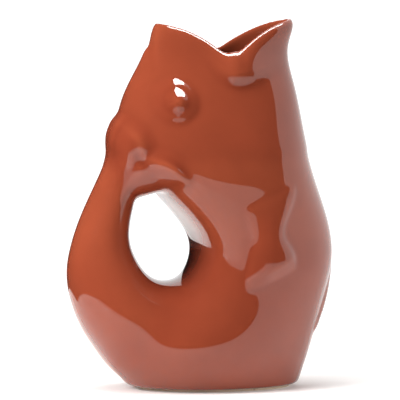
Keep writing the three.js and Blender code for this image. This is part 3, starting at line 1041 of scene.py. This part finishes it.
@dataclass(frozen=True)
class Foot:
    """The flat oval foot that the jug stands on."""

    name: str = "bare_foot"
    length: float = 108.0
    width: float = 80.0
    height: float = 2.0
    edge: float = 0.8
    around: int = 160
    side_rows: int = 4
    face_rings: int = 8

    def tree(self, material: bpy.types.Material) -> tuple[bpy.types.NodeTree, dict[str, str]]:
        """Build the tree that turns an oval with an eased lower edge.

        Args:
            material: Finish of the foot.

        Returns:
            The tree and the identifier of each of its named inputs.
        """
        group = bpy.data.node_groups.new("oval_foot", "GeometryNodeTree")
        face = group.interface
        face.new_socket("Geometry", in_out="INPUT", socket_type="NodeSocketGeometry")
        names = {}
        for label in ("Length", "Width", "Height", "Edge"):
            names[label] = face.new_socket(label, in_out="INPUT", socket_type="NodeSocketFloat").identifier
        face.new_socket("Geometry", in_out="OUTPUT", socket_type="NodeSocketGeometry")
        tree = NodeTree(group)
        sizes = tree.add("NodeGroupInput").outputs
        pad = tree.add(
            "GeometryNodeMeshCylinder", {"Depth": sizes["Height"]},
            {"Vertices": self.around, "Side Segments": self.side_rows, "Fill Segments": self.face_rings,
             "Radius": 0.5})
        place = tree.add("GeometryNodeInputPosition").outputs["Position"]
        apart = tree.add("ShaderNodeSeparateXYZ", {"Vector": place}).outputs
        half = tree.add("ShaderNodeMath", {0: sizes["Height"]}, {1: 0.5}, operation="MULTIPLY").outputs[0]
        level = tree.add("ShaderNodeMath", {0: apart["Z"], 1: half}, operation="ADD").outputs[0]
        share = tree.add(
            "ShaderNodeMapRange", {"Value": level, "From Max": sizes["Edge"]},
            {"From Min": 0.0, "To Min": 1.0, "To Max": 0.0}).outputs["Result"]
        inset = tree.add("ShaderNodeMath", {0: share, 1: sizes["Edge"]}, operation="MULTIPLY").outputs[0]
        double = tree.add("ShaderNodeMath", {0: inset}, {1: 2.0}, operation="MULTIPLY").outputs[0]
        reach = []
        for label, axis in (("Length", "X"), ("Width", "Y")):
            size = tree.add("ShaderNodeMath", {0: sizes[label], 1: double}, operation="SUBTRACT").outputs[0]
            reach.append(tree.add("ShaderNodeMath", {0: apart[axis], 1: size}, operation="MULTIPLY").outputs[0])
        there = tree.add("ShaderNodeCombineXYZ", {"X": reach[0], "Y": reach[1], "Z": level}).outputs["Vector"]
        shaped = tree.add("GeometryNodeSetPosition", {"Geometry": pad.outputs["Mesh"], "Position": there})
        real = tree.add("GeometryNodeRealizeInstances", {"Geometry": shaped.outputs["Geometry"]})
        dressed = tree.add(
            "GeometryNodeSetMaterial", {"Geometry": real.outputs["Geometry"]}, {"Material": material})
        tree.add("NodeGroupOutput", {"Geometry": dressed.outputs["Geometry"]})
        return group, names

    def build(self, material: bpy.types.Material) -> bpy.types.Object:
        """Make the foot.

        Args:
            material: Finish of the foot.

        Returns:
            The foot's object.
        """
        group, names = self.tree(material)
        foot = bpy.data.objects.new(self.name, bpy.data.meshes.new(self.name))
        bpy.context.scene.collection.objects.link(foot)
        shape = foot.modifiers.new("shape", "NODES")
        shape.node_group = group
        sizes = {"Length": self.length, "Width": self.width, "Height": self.height, "Edge": self.edge}
        for label, size in sizes.items():
            shape[names[label]] = size * MM
        graph = bpy.context.evaluated_depsgraph_get()
        mesh = bpy.data.meshes.new_from_object(foot.evaluated_get(graph))
        foot.modifiers.clear()
        foot.data = mesh
        return foot


@dataclass(frozen=True)
class Softbox:
    """One soft light of the studio."""

    name: str
    place: tuple[float, float, float]
    aim: tuple[float, float, float]
    size: tuple[float, float]
    power: float
    in_gloss: bool
    in_diffuse: bool

    def build(self) -> bpy.types.Object:
        """Hang the light.

        Returns:
            The light's object.
        """
        data = bpy.data.lights.new(self.name, "AREA")
        data.shape = "RECTANGLE"
        data.size, data.size_y = self.size
        data.energy = self.power
        light = bpy.data.objects.new(self.name, data)
        light.location = self.place
        light.rotation_euler = (Vector(self.aim) - Vector(self.place)).to_track_quat("-Z", "Y").to_euler()
        light.visible_camera = False
        light.visible_glossy = self.in_gloss
        light.visible_diffuse = self.in_diffuse
        bpy.context.scene.collection.objects.link(light)
        return light


@dataclass
class Studio:
    """The pale floor, the lights and the camera."""

    floor_colour: str = "#f4f2f0"
    floor_radius: float = 0.5
    floor_glow: float = 0.15
    floor_level: float = -0.0003
    floor_roughness: float = 0.6
    floor_corners: int = 96
    world_strength: float = 1.35
    flag_colour: str = "#0c0a09"
    flag_radius: float = 1.2
    flag_top: float = 4.5
    flag_from: float = -168.0
    flag_to: float = 82.0
    flag_steps: int = 60
    mat_level: float = 0.0005
    mat_edge: tuple[tuple[float, float], ...] = (
        (-168, 0.6), (-140, 0.45), (-110, 0.25), (-70, 0.45), (-35, 1.15), (82, 1.15))
    camera_place: tuple[float, float, float] = (-1.1327, -4.3441, 0.4588)
    camera_aim: tuple[float, float, float] = (-0.00906, 0.00076, 0.12916)
    camera_lens: float = 587.0
    camera_sensor: float = 36.0
    camera_sees_to: float = 100.0
    camera_azimuth: float = -14.5
    softboxes: tuple[Softbox, ...] = (
        Softbox("overhead_strip", (0.35, 0.07, 1.4), (0.35, 0.09, 0), (1.2, 0.32), 28.0, True, False),
        Softbox("left_key", (-1.0, -0.3, 0.75), (0, 0, 0.1), (0.6, 0.6), 18.5, False, True),
        Softbox("top_light", (-0.7, -0.3, 2.4), (0, 0, 0), (1.6, 1.6), 40.0, False, True),
        Softbox("right_fill", (1.0, -0.8, 0.5), (0, 0, 0.1), (0.6, 0.6), 8.0, False, True),
        Softbox("back_light", (0.3, 0.6, 2.6), (0, 0.1, 0), (1.6, 1.6), 34.0, False, True),
    )

    def plain(self, name: str, colour: str, roughness: float, glow: float) -> bpy.types.Material:
        """A plain stage material.

        Args:
            name: Its name.
            colour: Its sRGB hex colour.
            roughness: Its roughness.
            glow: Light that it gives off, as a light table does.

        Returns:
            The material.
        """
        material = bpy.data.materials.new(name)
        material.use_nodes = True
        shader = material.node_tree.nodes["Principled BSDF"]
        shader.inputs["Base Color"].default_value = linear(colour)
        shader.inputs["Roughness"].default_value = roughness
        shader.inputs["Emission Color"].default_value = linear(colour)
        shader.inputs["Emission Strength"].default_value = glow
        return material

    def surface(self, name: str, points: list, faces: list, material: bpy.types.Material) -> bpy.types.Object:
        """A stage surface.

        Args:
            name: Its name.
            points: Its points, in metres.
            faces: Its faces.
            material: Its finish.

        Returns:
            The surface's object.
        """
        mesh = bpy.data.meshes.new(name)
        mesh.from_pydata(points, [], faces)
        mesh.materials.append(material)
        surface = bpy.data.objects.new(name, mesh)
        bpy.context.scene.collection.objects.link(surface)
        return surface

    def build(self) -> None:
        """Lay the floor, set the lights and place the camera."""
        turns = np.linspace(0, 2 * np.pi, self.floor_corners, endpoint=False)
        radius, level = self.floor_radius, self.floor_level
        disc = [(radius * math.cos(a), radius * math.sin(a), level) for a in turns]
        floor = self.plain("pale_floor", self.floor_colour, self.floor_roughness, self.floor_glow)
        self.surface("studio_floor", disc, [tuple(range(len(disc)))], floor)
        self.flag()
        for softbox in self.softboxes:
            softbox.build()
        world = bpy.data.worlds.new("soft_room")
        world.use_nodes = True
        sky = world.node_tree.nodes["Background"]
        sky.inputs["Color"].default_value = (1, 1, 1, 1)
        sky.inputs["Strength"].default_value = self.world_strength
        world.cycles_visibility.diffuse = False
        bpy.context.scene.world = world
        bpy.context.scene.view_settings.view_transform = "Standard"
        self.camera()

    def flag(self) -> None:
        """Stand dark cloth round the camera's side, with a mat on the left; only the glaze's gloss shows it."""
        degrees = np.linspace(self.flag_from, self.flag_to, self.flag_steps)
        turns = np.radians(degrees + self.camera_azimuth)
        mat = np.interp(degrees, *zip(*self.mat_edge))
        wall = self.flag_radius + 0 * mat
        rings = ((mat, self.mat_level), (wall, self.mat_level), (wall, self.flag_top))
        points = []
        for radius, height in rings:
            points += [(r * math.sin(a), -r * math.cos(a), height) for r, a in zip(radius, turns)]
        points.append((0, 0, self.flag_top))
        count, top = len(turns), 2 * len(turns)
        starts = [k + i for k in (0, count) for i in range(count - 1)]
        faces = [(i, i + 1, i + count + 1, i + count) for i in starts]
        faces += [(top + i, top + i + 1, 3 * count) for i in range(count - 1)]
        flag = self.surface("dark_flag", points, faces, self.plain("flag_cloth", self.flag_colour, 1.0, 0.0))
        flag.visible_camera = False
        flag.visible_diffuse = False
        flag.visible_shadow = False

    def camera(self) -> None:
        """Place the camera at the photograph's angle."""
        data = bpy.data.cameras.new("camera")
        data.lens = self.camera_lens
        data.sensor_width = self.camera_sensor
        data.clip_end = self.camera_sees_to
        camera = bpy.data.objects.new("camera", data)
        camera.location = self.camera_place
        toward = Vector(self.camera_aim) - Vector(self.camera_place)
        camera.rotation_euler = toward.to_track_quat("-Z", "Y").to_euler()
        bpy.context.scene.collection.objects.link(camera)
        bpy.context.scene.camera = camera


def hand_over(piece: bpy.types.Object, nodes: tuple[str, ...]) -> None:
    """Tie a finished piece to the frame.

    Args:
        piece: The finished piece.
        nodes: Solids that it stands for.
    """
    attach(piece, ROOT_BODY)
    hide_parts(*nodes)
    piece.data.calc_loop_triangles()
    LOG.info("%s: %d triangles for %s", piece.name, len(piece.data.loop_triangles), ", ".join(nodes))


def main() -> None:
    """Build the jug and the studio."""
    logging.basicConfig(level=logging.INFO, format="%(message)s")
    Studio().build()
    jug = GlazedSkin().build(GlossGlaze().material())
    hand_over(jug, GlazedSkin.stands_for)
    foot = Foot().build(BareStoneware().material())
    hand_over(foot, ("foot",))


if __name__ == "__main__":
    main()
